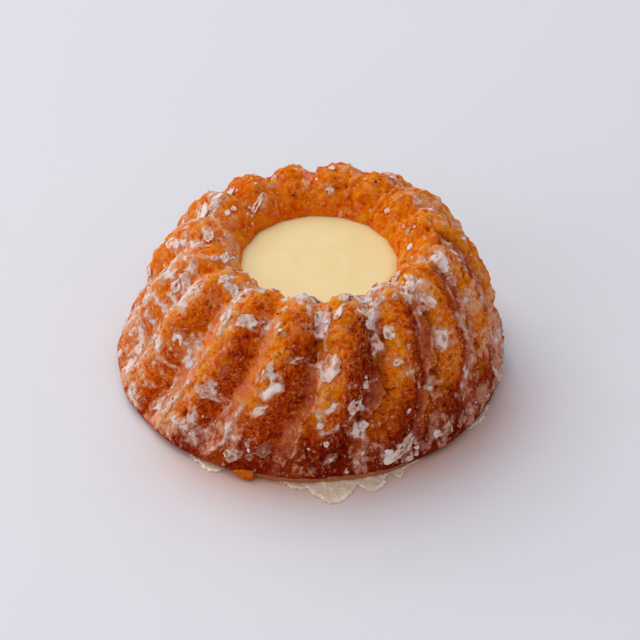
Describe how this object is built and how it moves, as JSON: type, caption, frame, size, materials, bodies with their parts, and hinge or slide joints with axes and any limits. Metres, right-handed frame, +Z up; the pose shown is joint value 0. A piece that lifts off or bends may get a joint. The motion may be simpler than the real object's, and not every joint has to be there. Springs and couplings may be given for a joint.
{
  "type": "glazed ring cake with cream filling",
  "caption": "Small fluted ring cake with a lemon sugar glaze, ragged white sugar flakes, and a well filled with pale lemon cream.",
  "frame": {"origin": "middle of the flat underside that the cake rests on", "axes": "+Z up, -Y towards the side that the picture shows in front, +X to the right of it"},
  "size_m": [0.0809, 0.0862, 0.0338],
  "materials": {
    "glazed_crust": "satin",
    "lemon_cream": "satin",
    "sugar_glaze": "satin"
  },
  "bodies": {
    "root": {"cake": "glazed_crust", "cream_filling": "lemon_cream"}
  },
  "joints": []
}
